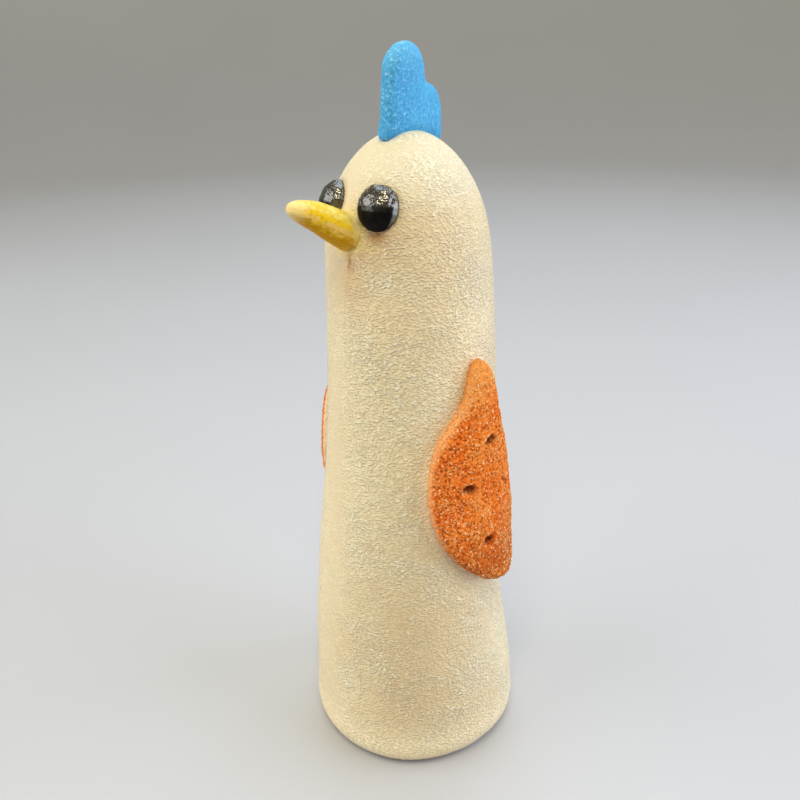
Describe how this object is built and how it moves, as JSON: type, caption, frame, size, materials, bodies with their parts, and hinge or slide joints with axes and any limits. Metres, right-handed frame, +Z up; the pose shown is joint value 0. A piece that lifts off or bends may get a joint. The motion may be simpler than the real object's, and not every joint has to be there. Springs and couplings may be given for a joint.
{
  "type": "ceramic bird figurine",
  "caption": "Upright hand-built clay bird: tapering column body with a domed head, upright comb, cone beak, ball eyes and teardrop wings on the flanks.",
  "frame": {"origin": "middle of the flat underside, on the surface that the figurine stands on", "axes": "+Z up through the body, -Y the way the bird faces, +X towards the bird's left wing"},
  "size_m": [0.0632, 0.068, 0.2],
  "materials": {
    "body_glaze": "matte cream, sandy",
    "comb_glaze": "matte sky blue",
    "beak_glaze": "satin mottled yellow",
    "eye_glaze": "gloss black",
    "wing_clay": "coarse sandy orange"
  },
  "bodies": {
    "root": {"body": "body_glaze", "comb": "comb_glaze", "beak": "beak_glaze", "eye_left": "eye_glaze", "eye_right": "eye_glaze", "wing_left": "wing_clay", "wing_right": "wing_clay"}
  },
  "joints": []
}
